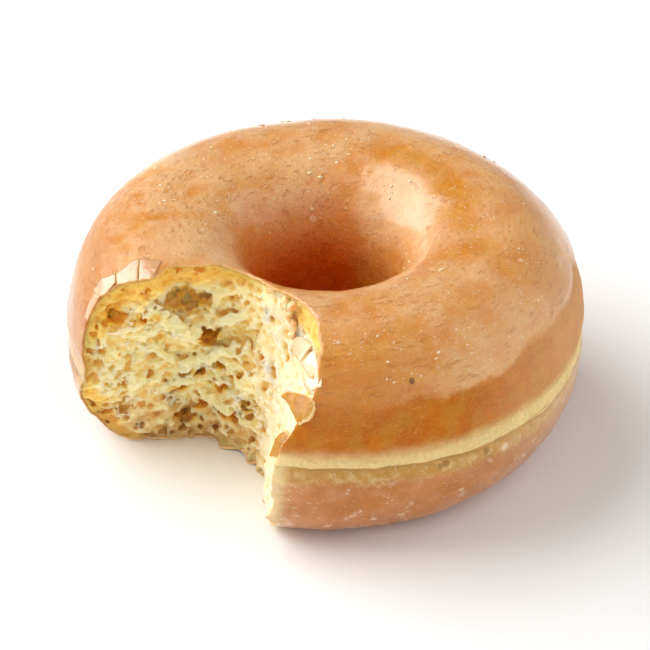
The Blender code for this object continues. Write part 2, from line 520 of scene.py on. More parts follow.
FARTHEST_SLIDE = 0.7


def tear_open(points, faces, depth, slope, inward, thickness):
    """Cut a skin where its depth in the bite is zero, and close it.

    Quads on the bitten side go, and the corners on the cut slide along the surface
    onto the line.  An inner face lies under the skin, joined to it by a rounded lip.
    Each point also gets the number of its point on the skin and how far it is buried.
    """
    kept = faces[depth[faces].mean(axis=1) < 0]
    edges = np.concatenate([kept[:, [k, (k + 1) % 4]] for k in range(4)])
    _, first, count = np.unique(np.sort(edges, axis=1), axis=0,
                                return_index=True, return_counts=True)
    rim = edges[first[count == 1]]
    corners, number = np.unique(rim, return_inverse=True)
    steep = np.linalg.norm(slope[corners], axis=1, keepdims=True) + 1e-9
    ahead = slope[corners] / steep
    points = points.copy()
    points[corners] += ahead * np.clip(-depth[corners, None] / steep, -FARTHEST_SLIDE, FARTHEST_SLIDE)
    half = points[corners] + (0.5 * inward[corners] + 0.2 * ahead) * thickness
    rows = (rim, len(points) + number.reshape(rim.shape), len(points) + len(corners) + rim)
    lip = [np.concatenate([upper[:, ::-1], lower], axis=1) for upper, lower in zip(rows, rows[1:])]
    faces = np.concatenate([kept, *lip, kept[:, ::-1] + len(points) + len(corners)])
    source = np.concatenate([np.arange(len(points)), corners, np.arange(len(points))])
    buried = np.repeat([0, 0.5, 1], [len(points), len(corners), len(points)])
    points = np.concatenate([points, half, points + inward * thickness])
    used, faces = np.unique(faces, return_inverse=True)
    return points[used], faces.reshape(-1, 4), source[used], buried[used]


def change(values, axis):
    """How values change from one grid line to the next, over lines that close up."""
    return (np.roll(values, -1, axis) - np.roll(values, 1, axis)) / 2


slope = 0.0
for axis in (0, 1):
    step = change(skin_points, axis)
    slope = slope + change(torn, axis)[..., None] * step / (step ** 2).sum(axis=-1, keepdims=True)
inward = unit(np.cross(change(skin_points, 1), change(skin_points, 0)))

points, faces, source, buried = tear_open(
    skin_points.reshape(-1, 3), grid_faces(AROUND, ACROSS), torn.ravel(),
    slope.reshape(-1, 3), inward.reshape(-1, 3), 0.4)
arc = np.cumsum(np.hypot(np.gradient(side[0]), np.gradient(tall[0])))
arc = (arc - np.interp(-math.pi / 2, levels[0], arc)) % arc[-1]
# Each point's place on the skin unrolled: round the ring at an even radius, and up the rim
turned = stacked(30 * np.cos(azimuths), 30 * np.sin(azimuths), arc)
columns = {name: np.broadcast_to(values, torn.shape).ravel()[source] for name, values in dict(
    above_rim=above_rim, above_seam=above_seam, above_band=above_band, broad=broad,
    from_bite=torn, outside=outside).items()}
crust = mesh_piece("browned_crust", points, faces, buried=buried,
                   turned=turned.reshape(-1, 3)[source], **columns)

# --------------------
# The crust's finish: golden fried dough under a thin sugar glaze, a cream seam,
# and a lower half with hazy, flaking glaze.

GOLD = tone(208, 128, 28)
PALE_GOLD = tone(214, 146, 54)
DIMPLE = tone(188, 110, 20)
HAZE_AND_SHEEN = tone(230, 186, 138)
BROWN = tone(202, 118, 26)
RED_BROWN = tone(190, 102, 20)
OLIVE_GOLD = tone(196, 130, 42)
HAIR = tone(218, 156, 84)
CREAM = tone(240, 214, 154)
DEEP_CREAM = tone(232, 196, 128)
CREASE_SHADOW = tone(170, 132, 56)
OLIVE_GLAZE = tone(192, 140, 52)
LOWER_BROWN = tone(186, 112, 40)
LOWER_PINK = tone(202, 134, 78)
SUGAR = tone(252, 228, 200)
TORN_EDGE = tone(238, 188, 130)
HOLE_SHADE = tone(255, 166, 62)
LEFT_SHADE = tone(214, 194, 154)
GOLD_PATCH = (4, -46, 33)   # middle of the clear golden patch in front of the hole
CREASE_PIT_SHADE = tone(150, 108, 40)
# Single marks: middle in mm from the table, radius, colour and strength.  A burst
# bubble lies on the shoulder; pits and a sugar drop lie in the crease.  The dark of the
# bubble and of the pits is painted shade.
MARKS = (
    ((*BUBBLE[:2], BUBBLE[2] + BASE), 0.55, tone(112, 60, 10), 0.8),
    ((21.3, -42.4, 17.9), 0.7, CREASE_PIT_SHADE, 0.8),
    ((20.2, -42.9, 17.6), 0.6, CREASE_PIT_SHADE, 0.7),
    ((28.7, -37.8, 17.6), 0.8, CREASE_PIT_SHADE, 0.8),
    ((32.1, -35, 16.4), 0.9, SUGAR, 0.5),
)
HIGHLIGHT_MIDDLE = (12.5, 13, 37.5)   # middle of the painted highlight, where the key lamp's reflection lies on the hole's wall

shader, place = new_finish(crust, Specular_IOR_Level=0.12, Subsurface_Weight=0.12,
    Subsurface_Scale=0.0014, Subsurface_Radius=(1, 0.6, 0.3), Coat_Roughness=0.19, Coat_IOR=1.48)
around = place.read("turned", out=1)
fine = place.noise(0.7, 3, 0.6)
rim_height = place.read("above_rim") + place.wander(2.4, 2.2, 5, 0.65)
seam_height = place.read("above_seam") + place.wander(1.1, 3.2, 3)
band_height = place.read("above_band") + place.wander(1.4, 2.5, 3)
outer = place.read("outside")
broad = place.read("broad")
buried = place.read("buried")
height = place.axis(2)
sideways = place.axis(0)

slow = place.noise(14, 2)
# How deep in the hole, for its painted shade and its duller glaze
hole_depth = (1 - outer) * height.below(31, 11)
gold_patch = place.distance(GOLD_PATCH).below(15, 8)
mottle = place.noise(4.5, 4, 0.6)
# The spot of the painted highlight on the hole's wall, ragged at its edge
painted_highlight_spot = (place.distance(HIGHLIGHT_MIDDLE) + 9 * (mottle - 0.5) + 3 * (fine - 0.5)).below(7.5, 2.2)
grit = place.noise(0.28, 2, 0.6)

# Above the glaze's edge: gold with darker drawn-out dimples under a pinkish haze.  The haze
# is partly painted sheen: stronger on the upper left, where the key lamp's reflection lies,
# and thinned on the right shoulder as painted shade.
blurred = sideways.below(13, 9) * sideways.above(-12, 4) * outer
glazed = rim_height.above(0, 0.8) * (1 - blurred) + rim_height.above(2.5, 8) * blurred
golden = around.stretch(0.6, 0.6, 1).noise(4, 5, 0.65).above(0.5, 0.13).blend(GOLD, PALE_GOLD)
dimples = around.stretch(0.4, 0.4, 1).noise(0.9, 4, 0.62).above(0.6, 0.05) * mottle.above(0.46, 0.1)
hazy = (slow + 0.6 * mottle).above(0.76, 0.24)
rim_haze = rim_height.around(2.2, 2.6) * outer * (0.2 + 0.8 * sideways.above(9, 7))
left_haze_and_sheen = sideways.below(-14, 9) * mottle.above(0.45, 0.15)
hazy = (hazy * 0.8).most(rim_haze * 0.45).most(left_haze_and_sheen * 0.7)
hazy = hazy * (1 - 0.55 * sideways.above(30, 8)) * (1 - 0.9 * gold_patch) * (1 - hole_depth)
golden = golden.toward(DIMPLE, dimples * 0.55).toward(HAZE_AND_SHEEN, hazy * (1 - 0.6 * dimples))
golden = golden.tint(tone(235, 200, 165), grit.above(0.55, 0.15) * 0.45)

# Bare crust between the glaze and the seam: browner, with fine light scratches
bare = mottle.above(0.5, 0.14).blend(RED_BROWN, BROWN)
bare = bare.toward(OLIVE_GOLD, place.noise(3.6, 2).above(0.54, 0.12) * 0.75)
first_hairs = (around.stretch(0.5, 0.5, 1).noise(1.3, 3, 0.6, 1.5) - 0.5).around(0, 0.02)
second_hairs = (place.noise(2.2, 4, 0.6, 2.5) - 0.5).around(0, 0.014)
hairs = first_hairs.most(second_hairs) * place.noise(5, 1).above(0.45, 0.1)
bare = bare.toward(HAIR, hairs * 0.6)
bare = bare.tint(tone(225, 190, 150), grit.above(0.5, 0.2) * 0.4)

# The seam: cream that browns towards its top, its slits darkened as painted shade
cream = fine.above(0.52, 0.2).blend(CREAM, DEEP_CREAM)
shaded_slits = around.stretch(0.1, 0.1, 1).noise(1.1, 3, 0.6).above(0.6, 0.03)
cream = cream.toward(CREASE_SHADOW, shaded_slits * broad * 0.7)
seam_share = seam_height.above(0, 0.16) * band_height.below(0.2, 2) * outer
colour = bare.toward(golden, glazed).toward(cream, seam_share)

# Under the seam: glaze that ran together in the crease, then hazy browned crust.  The
# crease's line and its pits are darkened as painted shadow.
under = mottle.above(0.5, 0.16).blend(LOWER_BROWN, LOWER_PINK)
under = under.toward(OLIVE_GLAZE, (seam_height + 3 * (mottle - 0.5)).above(-3, 1.4) * 0.9)
cloudy = seam_height.around(-2, 2.2) * place.noise(1.7, 4, 0.65).above(0.53, 0.1)
under = under.toward(tone(224, 188, 128), cloudy * 0.6)
shaded_pits = place.specks(3, 1.7, 0.4) * seam_height.around(-1.1, 1.5)
crease_shadow_line = seam_height.around(-0.35, 0.5) * place.noise(3, 1).above(0.45, 0.15)
under = under.toward(CREASE_SHADOW, shaded_pits.most(crease_shadow_line) * 0.8)
below = seam_height.below(0, 0.12) * outer
torn_pale = (place.read("from_bite") + place.wander(2, 1.8, 4, 0.6)).above(-2.2, 1.6)
colour = colour.toward(under, below).toward(CREAM, torn_pale * seam_height.below(2.4, 0.6) * 0.8)

# Sugar: fine glints on the glaze, pale specks of sugar partly painted as highlight, and
# larger pale flakes on the lower half
glints = place.noise(0.55, 3, 0.65).above(0.642, 0.025) * place.noise(4, 3, 0.6).above(0.46, 0.08)
crumbs_of_sugar = place.specks(6.5, 1.8, 0.35) * place.noise(0.5, 2).above(0.42, 0.08)
flakes = place.noise(3, 5, 0.65).above(0.6, 0.03) * place.noise(0.5, 2).above(0.42, 0.2)
flakes = flakes * below * (1 - seam_height.above(-3.5, 1))
sugar_and_glints = (glints * 0.8).most(crumbs_of_sugar * 0.5)
colour = colour.toward(SUGAR, sugar_and_glints * (glazed + 0.8 * below)).toward(SUGAR, flakes * 0.55)
colour = colour.toward(TORN_EDGE, buried.above(0.3, 0.2) * 0.8)
# Painted shade deep in the hole: darker, redder colour and no haze there, less of it at the painted
# highlight and on the hole's right wall
colour = colour.tint(HOLE_SHADE, hole_depth * (1 - torn_pale) * (1 - buried) * (1 - 0.6 * painted_highlight_spot)
                     * (1 - 0.85 * sideways.above(6, 4)))
# Painted highlight: the glaze lightened where the key lamp's reflection lies in the hole
colour = colour.toward(HAZE_AND_SHEEN, painted_highlight_spot * 0.5)
for middle, radius, mark, strength in MARKS:
    ragged = place.distance(middle) + place.wander(1.6 * radius, 0.9, 3, 0.6)
    colour = colour.toward(mark, ragged.below(radius, 0.3 * radius) * strength)
# Painted shade: the outer left shoulder darkened, where the key lamp lights it hardest
colour = colour.tint(LEFT_SHADE, sideways.below(-39, 6) * outer)
# The bare crust lighter toward the right: a thin haze, and painted light from the side lamp
bare_right = sideways.above(34, 12) * outer * (1 - seam_share)
colour = colour.toward(HAZE_AND_SHEEN, bare_right * seam_height.above(-9, 6) * 0.45 * (1 - 0.6 * glazed))

film = glazed.most(below * 0.75)
gloss = film * (1 - buried) * (1 - 0.6 * flakes) * (1 - 0.85 * hole_depth * (1 - painted_highlight_spot)) * (
    1 - 0.7 * sideways.below(-32, 6) * height.above(32, 4))
rough_skin = 0.62 - 0.22 * film + 0.15 * (fine - 0.5)
bumps = mottle.relief(0.7, slow.relief(1))
bumps = (fine * (1 - 0.5 * film) - 0.6 * dimples).relief(0.14, bumps)
bumps = (grit * (1 - 0.5 * film) + hairs * 0.4 * (1 - glazed)).relief(0.05, bumps)
bumps = (0.6 * glints + flakes + crumbs_of_sugar).relief(0.08, bumps)
feed(shader, Base_Color=colour, Roughness=rough_skin, Coat_Weight=gloss, Normal=bumps)

# --------------------
# The crumb: a foam of soft pale dough that tore open at the bite, worked out on a
# lattice of cubes: the ring's inside, less the bite and the opened cells, plus the
# flaps that hang from the wall.  Its surface is then drawn through the lattice.

GRAIN = 0.37                 # side of the lattice's cubes
SHELL = 5.4                  # how far the crumb piece reaches behind the torn wall
SKIN_GAP = 0.12              # the crumb stops this far under the skin
CELL = 1.5                   # typical width of a cell
crumb_axes = (np.arange(-48.6, 3.6, GRAIN), np.arange(-48.6, -3, GRAIN),
              np.arange(-BASE - 0.9, CROWN + 0.9, GRAIN))
# direction of each hollow round the bite's axis, its height above the waist, then its
# width, how tall it is and its depth
HOLLOWS = (
    (84, 14.2, 8.2, 4.6, 3.6), (76, 6.4, 4.6, 5, 3.2), (121, 11.7, 3.6, 3, 2.2),
    (109, 12, 2.2, 2, 1.6), (103, 13, 2.4, 1.8, 1.6), (91, -6.9, 4, 2.6, 2.6),
    (81, -2.8, 2.6, 1.7, 1.8), (70, -0.6, 2, 1.7, 1.6), (62, -1.8, 4, 2.8, 2.4),
    (71, -5.6, 2.8, 2.4, 1.8), (82, -11.5, 3.2, 2.2, 1.8), (67, -11.8, 3.4, 1.8, 1.6),
    (88, -14.6, 4.6, 2.4, 2.4), (57, -8, 2.6, 1.8, 1.4), (45, 4.9, 1.8, 3, 1.4),
    (132, 1, 4, 8, 1.6), (118, -4, 3, 5, 1.2),
)
SHADED_HOLLOWS = HOLLOWS[:15]     # the ones whose inside gets painted shade
HOLLOW_MARGIN = (0.6, 0.6, 0.8)   # how much farther that painted shade reaches
# start and end of each flap as direction, height and stand-off from the wall, then
# its width and its thickness
FLAPS = (
    ((106, 14.3, 0.6), (80, 7.4, 2.2), 3.2, 1.7), ((112, 6.6, 0.4), (97, 10.4, 1.2), 2, 1.4),
    ((89, -1.2, 0.9), (60, 5, 0.9), 2.2, 1.6), ((127.4, 10.6, 0.5), (127.4, 6.4, 0.7), 1.4, 1.2),
    ((104, 5, 0.4), (95, 1, 0.6), 1.6, 1.2), ((113, -1, 0.4), (111, -7.5, 0.6), 1.4, 1.2),
    ((80, -7.5, 0.6), (60, -11, 0.7), 1.6, 1.3), ((98, -7, 0.4), (84, -4.6, 0.8), 1.6, 1.3),
    ((72, 1.6, 0.4), (58, 0.4, 0.6), 1.4, 1.2), ((70, 9.6, 0.5), (56, 12, 0.6), 1.6, 1.3),
)


def skin_depth(points):
    """How far a point lies under the even skin, measured along the ray from the
    section's centre, and never more than its height above the base."""
    azimuth = np.arctan2(points[..., 1], points[..., 0])
    side = np.hypot(points[..., 0], points[..., 1]) - CORE
    tall = points[..., 2]
    level = np.arctan2(tall / np.where(tall >= 0, CROWN, LOWER), side / HALF_WIDTH)
    across, along = section_reach(level)
    crease = (across > 0) * 0.5 * near(along - seam_level(azimuth), -2.6, 0.8)
    away = np.hypot(side, tall)
    rim = np.where(along <= -BASE, away + tall + BASE, np.hypot(across, along))
    push = swell(azimuth, np.arctan2(tall, side)) - seam_dent(azimuth, across, along) - crease
    return np.minimum(rim - away + push, tall + BASE)


def wall_point(direction, height, stand_off):
    """A point in front of the torn wall by the stand-off, and the way out of the dough."""
    turn = math.radians(direction)
    axis = np.array([*BITE_AXIS, height])
    away = np.array([math.cos(turn), math.sin(turn), 0.0])
    reach = np.linspace(5, 60, 1101)
    found = reach[np.argmax(bite_depth(axis + reach[:, None] * away) < 0)]
    return axis + (found - stand_off) * away, -away


def blob(points, centre, axes, radii):
    """About how deep points lie in an ellipsoid with its radii along three axes."""
    local = (points - centre) @ np.transpose(axes) / radii
    return (1 - np.linalg.norm(local, axis=-1)) * min(radii)


def foam(points, seed):
    """Cells about one apart round scattered seeds, some larger than others: how much
    farther each point's second nearest seed is than its nearest, and its cell."""
    size = CLOUD_SIZE
    draw = np.random.default_rng(seed)
    jitter = draw.uniform(0, 1, (size ** 3, 3)).astype(np.float32)
    bonus = (0.55 * draw.uniform(0, 1, size ** 3) ** 4).astype(np.float32)
    cell = np.floor(points).astype(int)
    part = (points - cell).astype(np.float32)
    nearest = np.full(len(points), 9, np.float32)
    second = nearest.copy()
    owner = np.zeros(len(points), int)
    for step in itertools.product((-1, 0, 1), repeat=3):
        number = (cell + step) % size @ (size ** 2, size, 1)
        offset = jitter[number] + np.float32(step) - part
        away = np.sqrt((offset ** 2).sum(axis=1)) - bonus[number]
        closer = away < nearest
        second = np.where(closer, nearest, np.minimum(second, away))
        owner = np.where(closer, number, owner)
        nearest = np.where(closer, away, nearest)
    return second - nearest, owner


def spread_fill(start, allowed):
    """Everything allowed that touches the start, step by step through the lattice."""
    reached = start & allowed
    while True:
        grown = reached.copy()
        for axis, step in itertools.product(range(3), (-1, 1)):
            grown |= np.roll(reached, step, axis)
        grown &= allowed
        if (grown == reached).all():
            return grown
        reached = grown


def surface_net(field, axes):
    """The surface where a field on a lattice changes sign, as points and quads.

    Each cube that it crosses gets one point, the mean of the crossings on its edges.
    Each edge that it crosses gets one quad, which joins the points of the four cubes
    round it.  The field has to be positive on the lattice's border.
    """
    counts = np.zeros(field.shape)
    total = np.zeros(field.shape + (3,))
    quads = []
    for axis in range(3):
        last = np.roll(field, -1, axis)
        crossed = np.argwhere((field < 0) != (last < 0))
        here, there = field[tuple(crossed.T)], last[tuple(crossed.T)]
        place = crossed.astype(float)
        place[:, axis] += here / (here - there)
        second, third = np.roll(np.eye(3, dtype=int), -axis - 1, axis=0)[:2]
        quad = np.stack([crossed - back for back in (0, second, second + third, third)])
        for cube in quad:
            np.add.at(counts, tuple(cube.T), 1)
            np.add.at(total, tuple(cube.T), place)
        quad[:, here >= 0] = quad[::-1, here >= 0]
        quads.append(quad)
    used = counts > 0
    number = np.full(field.shape, -1)
    number[used] = np.arange(used.sum())
    points = total[used] / counts[used][:, None] * GRAIN + [axis[0] for axis in axes]
    return points, number[tuple(np.concatenate(quads, axis=1).T)].reshape(-1, 4)


def fill_pinches(field):
    """Make solid the lattice points that leave two solid ones touching only across
    the diagonal of a square, so that the surface never meets itself along an edge."""
    while True:
        solid = field < 0
        fill = np.zeros(field.shape, bool)
        for first, second in ((0, 1), (0, 2), (1, 2)):
            right, left = np.roll(solid, -1, first), np.roll(solid, -1, second)
            across = np.roll(right, -1, second)
            fill |= left & right & ~solid & ~across
            fill |= np.roll(solid & across & ~left & ~right, 1, second)
        if not fill.any():
            return field
        field = np.where(fill, -0.02, field)


def smear(field, reach):
    """Mean of a field over a cube that reaches so many lattice steps each way."""
    width = 2 * reach + 1
    for _ in range(3):
        running = np.cumsum(np.pad(field, ((reach + 1, reach), (0, 0), (0, 0)), mode="edge"), axis=0)
        field = np.moveaxis((running[width:] - running[:-width]) / width, 0, 2)
    return field


def in_a_hollow(points, hollow, behind, wider):
    """About how deep points lie in a hollow whose middle is set behind the wall by a
    share of its depth, and whose three radii are made wider."""
    direction, height, width, tallness, deep = hollow
    centre, out = wall_point(direction, height, -behind * deep)
    sideways = (-out[1], out[0], 0)
    return blob(points, centre, (sideways, (0, 0, 1), out),
                np.add((width / 2, tallness / 2, deep), wider))


lattice = stacked(*np.meshgrid(*crumb_axes, indexing="ij")).astype(np.float32)
bitten = bite_depth(lattice)
under = skin_depth(lattice)

# Only the lattice near the wall needs the costly part
close = (bitten > -SHELL - 0.5) & (bitten < 4.5) & (under > -0.5)
spots = lattice[close]
open_side = bitten[close]
skin_side = under[close]

# The tear: broad lumps, ridges drawn out along the pull, and fine fraying, all
# quieter next to the skin and on the smooth near end
turn = round_bite(spots)
along_wall = 22 * turn
climb = spots[:, 2] - 0.75 * along_wall + 2.1 * np.logaddexp(0, (along_wall - 16) / 2)
calm = ramp(np.degrees(turn), 20, 52)
ridge = 1 - 2.4 * np.abs(cloud(stacked(along_wall / 2.6, climb, open_side / 1.5), 1.9, 51))
tear = (1.2 * cloud(spots, 7.5, 41) + 1 * cloud(spots, 3.4, 42)
        + 0.6 * cloud(spots, 1.6, 43) - 1.3 * np.maximum(ridge, 0) ** 2)
fray = 0.46 * cloud(spots, 1.2, 44) + 0.56 * cloud(spots, 0.75, 45)
loose = ramp(skin_side, 0.4, 3.5) * (0.35 + 0.65 * calm)
air = (open_side + (tear + 0.8 * fray) * loose
       + torn_edge(spots) * (1 - ramp(skin_side, 0.8, 3)))

for hollow in HOLLOWS:
    air = np.maximum(air, fray + in_a_hollow(spots, hollow, 0.2, 0))

# Cells whose middle lies close enough to the air are open, each to its own luck
warp = stacked(cloud(spots, 3.5, 52) + 0.35 * cloud(spots, 1.2, 50), cloud(spots, 3.5, 53),
               cloud(spots, 3.5, 54) + 0.35 * cloud(spots, 1.2, 49))
stretched = stacked(along_wall / 1.25, climb / 0.9, open_side) / CELL
gap, owner = foam(stretched + 0.45 * warp + 40, 55)
luck = np.random.default_rng(56).uniform(0, 1, owner.max() + 1)
middle = np.bincount(owner, air) / np.maximum(np.bincount(owner), 1)
bare_reach = 0.1 + 0.62 * luck ** 1.7
opened = (middle > -bare_reach * CELL)[owner] & (skin_side > 0.8) & (luck[owner] < 0.97)
wall_half = 0.13 + 0.1 * cloud(spots, 1.7, 57)
cup = np.where(opened, 0.425 * CELL * gap - wall_half - 0.15 * (1 - calm), -1)
air = np.maximum(air, cup + 0.4 * fray)
air = np.minimum(air, open_side + SHELL - 1.2 + 0.5 * fray)

for start, end, width, thickness in FLAPS:
    first, out = wall_point(*start)
    last, _ = wall_point(*end)
    way = unit(last - first)
    side_way = unit(np.cross(way, out))
    flap = blob(spots, (first + last) / 2, (way, side_way, np.cross(way, side_way)),
                (0.6 * np.linalg.norm(last - first), width / 2, thickness / 2))
    air = np.minimum(air, -flap - 0.9 * fray)

empty = np.where(bitten > 0, bitten, np.maximum(-SHELL - bitten, bitten))
empty[close] = air
empty = np.maximum(np.maximum(empty, SKIN_GAP - under), -bitten - SHELL)
dough = spread_fill((under > 2) & (bitten < -SHELL + 0.7) & (bitten > -SHELL), empty < 0)
shut = ~spread_fill(empty > 1, ~dough)
empty = np.where(dough, np.minimum(empty, -0.02), np.maximum(empty, 0.02))
empty = np.where(shut, -0.05, empty)
empty[[0, -1]] = empty[:, [0, -1]] = empty[:, :, [0, -1]] = 1
empty = fill_pinches(empty)
points, faces = surface_net(empty, crumb_axes)
solidity = (empty < 0).astype(np.float32)
around_bite = np.degrees(round_bite(points))
in_hollow = np.max([in_a_hollow(points, hollow, 0.3, HOLLOW_MARGIN) for hollow in SHADED_HOLLOWS],
                   axis=0)
moist = (0.9 + 3.8 * ramp(around_bite, 40, 90) * ramp(points[:, 2], 5, 13)
         + 4.5 * (1 - ramp(around_bite, 20, 31)) * ramp(points[:, 2], 11, 14)
         + 3 * ramp(around_bite, 106, 122) * (1 - ramp(points[:, 2], -9, -2))
         + 0.8 * ramp(around_bite, 114, 124))
place = (points - [axis[0] for axis in crumb_axes]) / GRAIN
cell = place.astype(int)
# How much dough surrounds each point near and farther off, for the crumb's painted shade
crumb = mesh_piece("torn_crumb", points, faces, smooth=False,
                   sheltered=from_corners(smear(solidity, 4), cell, place - cell),
                   deep_sheltered=from_corners(smear(solidity, 9), cell, place - cell),
                   under_skin=skin_depth(points), pulled_apart=ramp(around_bite, 28, 62),
                   in_hollow=np.maximum(in_hollow, -1), moist=moist)

PALE = tone(250, 236, 184)
SMOOTH = tone(242, 228, 200)
BUTTER_AND_SHADE = tone(248, 216, 132)
AMBER_SHADE = tone(246, 196, 92)
HONEY_SHADE = tone(246, 174, 24)
MOIST = tone(248, 182, 54)
CRUST_EDGE = tone(226, 156, 76)
LOW_CRUMB_BROWN = tone(204, 142, 66)

shader, place = new_finish(crumb, Roughness=0.7, Specular_IOR_Level=0.25, Subsurface_Weight=0.85,
    Subsurface_Scale=0.004, Subsurface_Radius=(1, 0.8, 0.45))
near_skin = place.read("under_skin") + place.wander(1.2, 2.4, 3)
hollow = place.read("sheltered")
deep = place.read("deep_sheltered")
grain = place.noise(0.45, 4, 0.6)
# Painted shade: butter, amber and honey in sheltered spots and inside the hollows, where little light
# reaches.  The loose butter patches are the dough's own tone.
colour = hollow.above(0.54, 0.12).blend(PALE, BUTTER_AND_SHADE)
colour = colour.toward(AMBER_SHADE, (0.5 * hollow + 0.5 * deep).above(0.64, 0.1) * 0.55)
colour = colour.toward(BUTTER_AND_SHADE, place.noise(5, 3).above(0.52, 0.12) * 0.35)
in_hollow = place.read("in_hollow") + place.wander(1, 1, 3)
colour = colour.toward(HONEY_SHADE, in_hollow.above(0.2, 0.5) * 0.85)
colour = colour.toward(SMOOTH, (1 - place.read("pulled_apart")) * hollow.below(0.6, 0.2) * 0.8)
colour = colour.toward(MOIST, (near_skin - place.read("moist")).below(0, 1.3) * 0.8)
# Browner low down in the bite, except on the most open bits
low = place.axis(2).below(7, 7) * place.read("pulled_apart")
colour = colour.toward(LOW_CRUMB_BROWN, low * (hollow - 0.4 * grain).above(0.12, 0.3) * 0.85)
colour = colour.toward(CRUST_EDGE, near_skin.below(0.45, 0.3) * 0.7)
bumps = grain.relief(0.15, place.noise(1.1, 4, 0.6).relief(0.35))
feed(shader, Base_Color=colour, Normal=bumps)

# --------------------
# What broke at the bite: thin shards of set glaze on both ends of the torn edge,
# and two tongues of browned crust that curl over the smooth near end.

# corners of each plate in mm from the waist's middle
SHARDS = (
    ((-43.7, -15.1, 11.5), (-42.8, -14.2, 14.2), (-41.6, -14, 16.2), (-40.8, -15.7, 16.5),
     (-42.1, -16.1, 14.2), (-43.2, -16.3, 11.7)),
    ((-41.2, -15.5, 16.1), (-42, -13, 16.2), (-40.5, -12.1, 18.2), (-37.9, -13.4, 20),
     (-37.9, -15.6, 19.5), (-39.9, -16.3, 17.3)),
    ((-37.6, -16.2, 19.5), (-37.8, -13.6, 20.1), (-35, -12, 21.8), (-33.6, -11.9, 22.2),
     (-33.8, -17.7, 21.3), (-35.8, -17.2, 20.4)),
    ((-33.6, -11.7, 22.2), (-33, -11.4, 22.4), (-29.7, -13.5, 22.7), (-30.3, -16.2, 22.5),
     (-31.3, -18.5, 22), (-33.6, -17.7, 21.3)),
    ((-5.9, -24.8, 13.9), (-4.7, -25.7, 15.1), (-2.3, -30.5, 16), (-4.7, -31.2, 12.8),
     (-6.1, -27.4, 12.6)),
    ((-4.6, -32.5, 13.5), (-2.1, -32.4, 16.4), (-1.1, -37.1, 14.9), (-2.5, -36.8, 12.7)),
    ((-2.6, -37.3, 12.6), (-1.1, -37.6, 14.9), (-0.5, -39.7, 14), (-2.5, -40.1, 11.6),
     (-4.1, -36.6, 11.7)),
    ((-4.3, -38.3, 15.4), (-1.7, -42.3, 16.2), (-0.6, -42.4, 17.4), (-0.9, -43.9, 16.2),
     (-2.5, -43.3, 14.7), (-3.7, -41.3, 14.4)),
)
TONGUES = (
    ((-8, -38.3, 10.3), (-6.7, -38.7, 11.7), (-3.9, -42, 13.3), (-2.3, -44.3, 13.9),
     (-1.8, -46.2, 13.1), (-2.5, -47, 11.6), (-4.9, -46.1, 9.3), (-5.8, -43.1, 10),
     (-6.7, -40.7, 10.4)),
    ((-10, -42.8, 0.4), (-8.9, -41.5, 3.5), (-7.1, -42.6, 6), (-6, -44.2, 6),
     (-6.4, -45.6, 4), (-8.2, -45.3, 1.6)),
)

PLATE_RINGS = (0.2, 0.45, 0.7, 0.87, 1)   # shares of the way from the middle out


def capped(rows):
    """Points and triangles of a closed shell of rings, its two ends drawn to a point."""
    count, size = rows.shape[:2]
    quads = grid_faces(count, size)[:-size]
    turn = np.arange(size)
    after = np.roll(turn, -1)
    last = (count - 1) * size
    faces = np.concatenate([quads[:, :3], quads[:, [0, 2, 3]],
                            stacked(count * size, turn, after),
                            stacked(count * size + 1, last + after, last + turn)])
    points = np.concatenate([rows.reshape(-1, 3), rows[:1].mean(axis=1), rows[-1:].mean(axis=1)])
    return points, faces


def plate(corners, thickness, dome, seed):
    """A thin closed plate of rings with a ragged outline, wavy and risen toward its
    middle by the dome, and each point's share of the way out."""
    corners = np.array(corners)
    sides = np.roll(corners, -1, axis=0) - corners
    counts = np.maximum(3, np.linalg.norm(sides, axis=1) / 0.3).astype(int)
    outline = np.concatenate([corner + side * np.arange(count)[:, None] / count
                              for corner, side, count in zip(corners, sides, counts)])
    middle = outline.mean(axis=0)
    up = np.linalg.svd(corners - corners.mean(axis=0))[2][2]
    up = up * np.sign(up @ (-0.5, -0.4, 0.7))
    spokes = outline - middle
    if (np.cross(spokes, np.roll(spokes, -1, axis=0)) @ up).sum() < 0:
        spokes = spokes[::-1]
    spokes = spokes * (1 + 0.07 * cloud(spokes + middle, 0.9, seed)[:, None])
    shares = np.array(PLATE_RINGS)[:, None, None]
    sheet = middle + shares * spokes
    rise = dome * (1 - shares ** 2) + 0.12 * cloud(sheet, 2, seed + 1)[..., None]
    half = thickness / 2 * (1 - 0.6 * shares ** 6)
    rows = np.concatenate([sheet + (rise + half) * up, (sheet + (rise - half) * up)[::-1]])
    way_out = np.repeat([*PLATE_RINGS, *PLATE_RINGS[::-1]], len(spokes))
    return *capped(rows), np.append(way_out, [0, 0])


def joined(shells):
    """Several shells as one set of points and faces, with their other columns."""
    points, faces, *columns = zip(*shells)
    starts = np.cumsum([0, *map(len, points)])
    faces = [face + start for face, start in zip(faces, starts)]
    return [np.concatenate(column) for column in (points, faces, *columns)]


points, faces, way_out = joined(
    [plate(corners, 0.28, 0.1, 61 + k) for k, corners in enumerate(SHARDS)])
shards = mesh_piece("glaze_shards", points, faces, way_out=way_out)

shader, place = new_finish(shards, Roughness=0.25, Subsurface_Weight=0.5, Subsurface_Scale=0.001,
    Coat_Weight=1, Coat_Roughness=0.12, Coat_IOR=1.5)
edge = place.read("way_out") + place.wander(0.3, 0.8, 3)
